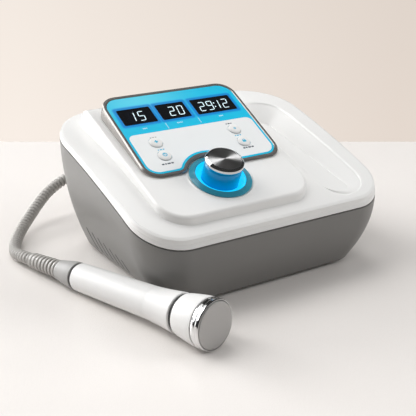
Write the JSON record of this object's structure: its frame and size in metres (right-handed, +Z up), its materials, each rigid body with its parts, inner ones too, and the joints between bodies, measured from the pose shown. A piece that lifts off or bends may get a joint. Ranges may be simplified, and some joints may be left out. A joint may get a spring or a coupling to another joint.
{
  "type": "ultrasound therapy device",
  "caption": "Bench-top ultrasound therapy unit: wedge console with raised display panel, rotary knob and storage trough, and a hand-held applicator on a corrugated hose.",
  "frame": {"origin": "on the table, in the middle of the footprint of console and applicator together, without the hose and its gland", "axes": "+Z up, +X to the user's right, -Y towards the user at the front of the console"},
  "size_m": [0.3133, 0.342, 0.151],
  "materials": {
    "casing_white": "satin white",
    "casing_grey": "fine matte grey",
    "panel_silver": "brushed, with a bright edge",
    "panel_cyan": "printed film, white label field and cyan border",
    "window_black": "gloss",
    "board_green": "solder mask",
    "ring_teal": "translucent light ring",
    "bowl_cyan": "lit from inside",
    "skirt_blue": "translucent, lit from below",
    "polished_chrome": "polished, spun top on the knob",
    "face_alloy": "bead-blasted",
    "heatsink_alloy": "plain",
    "plain_steel": "plain",
    "black_rubber": "matte",
    "hose_grey": "soft, matte",
    "plate_dark": "black powder coat"
  },
  "bodies": {
    "console": {"upper_casing": "casing_white", "handset_head": "casing_white", "handset_grip": "casing_white", "lower_casing": "casing_grey", "panel_housing": "panel_silver", "panel_overlay": "panel_cyan", "display_window_left": "window_black", "display_window_centre": "window_black", "display_window_right": "window_black", "digit_module_left": "window_black", "digit_module_centre": "window_black", "digit_module_right": "window_black", "key_switch_upper_left": "window_black", "key_switch_lower_left": "window_black", "key_switch_upper_right": "window_black", "key_switch_lower_right": "window_black", "buzzer": "window_black", "gland_nut": "window_black", "drive_transformer": "window_black", "fan_frame": "window_black", "inlet_socket": "window_black", "switch_frame": "window_black", "fuse_cap": "window_black", "display_board": "board_green", "handset_board": "board_green", "main_board": "board_green", "knob_ring": "ring_teal", "knob_bowl": "bowl_cyan", "handset_bezel": "polished_chrome", "handset_face": "face_alloy", "heatsink": "heatsink_alloy", "encoder_nut": "plain_steel", "encoder_body": "plain_steel", "piezo_disc": "plain_steel", "power_supply": "plain_steel", "handset_neck_ring": "black_rubber", "handset_rear_ring": "black_rubber", "foot_front_left": "black_rubber", "foot_front_right": "black_rubber", "foot_rear_left": "black_rubber", "foot_rear_right": "black_rubber", "handset_cuff": "hose_grey", "hose_boot": "hose_grey", "hose": "hose_grey", "hose_gland": "hose_grey", "rear_plate": "plate_dark"},
    "knob": {"knob_cap": "polished_chrome", "knob_skirt": "skirt_blue", "encoder_shaft": "plain_steel"},
    "rocker": {"power_rocker": "window_black"},
    "fan": {"fan_rotor": "window_black"},
    "key_upper_left": {"key_upper_left": "casing_white"},
    "key_lower_left": {"key_lower_left": "casing_white"},
    "key_upper_right": {"key_upper_right": "casing_white"},
    "key_lower_right": {"key_lower_right": "casing_white"}
  },
  "joints": [
    {"name": "knob_turn", "type": "hinge", "parent": "console", "child": "knob", "pos_m": [-0.0085, -0.0226, 0.09488], "axis": [0, -0.3584, 0.9336], "continuous": true},
    {"name": "key_upper_left_press", "type": "slide", "parent": "console", "child": "key_upper_left", "axis": [0, 0.454, -0.891], "range_m": [0, 0.001], "stiffness_N_per_m": 1500},
    {"name": "key_lower_left_press", "type": "slide", "parent": "console", "child": "key_lower_left", "axis": [0, 0.454, -0.891], "range_m": [0, 0.001], "stiffness_N_per_m": 1500},
    {"name": "key_upper_right_press", "type": "slide", "parent": "console", "child": "key_upper_right", "axis": [0, 0.454, -0.891], "range_m": [0, 0.001], "stiffness_N_per_m": 1500},
    {"name": "key_lower_right_press", "type": "slide", "parent": "console", "child": "key_lower_right", "axis": [0, 0.454, -0.891], "range_m": [0, 0.001], "stiffness_N_per_m": 1500},
    {"name": "power_rocker_tilt", "type": "hinge", "parent": "console", "child": "rocker", "pos_m": [0.0712, 0.1325, 0.038], "axis": [1, 0, 0], "range_deg": [-16, 0]},
    {"name": "fan_spin", "type": "hinge", "parent": "console", "child": "fan", "pos_m": [-0.0563, 0.0409, 0.0325], "axis": [1, 0, 0], "continuous": true}
  ]
}
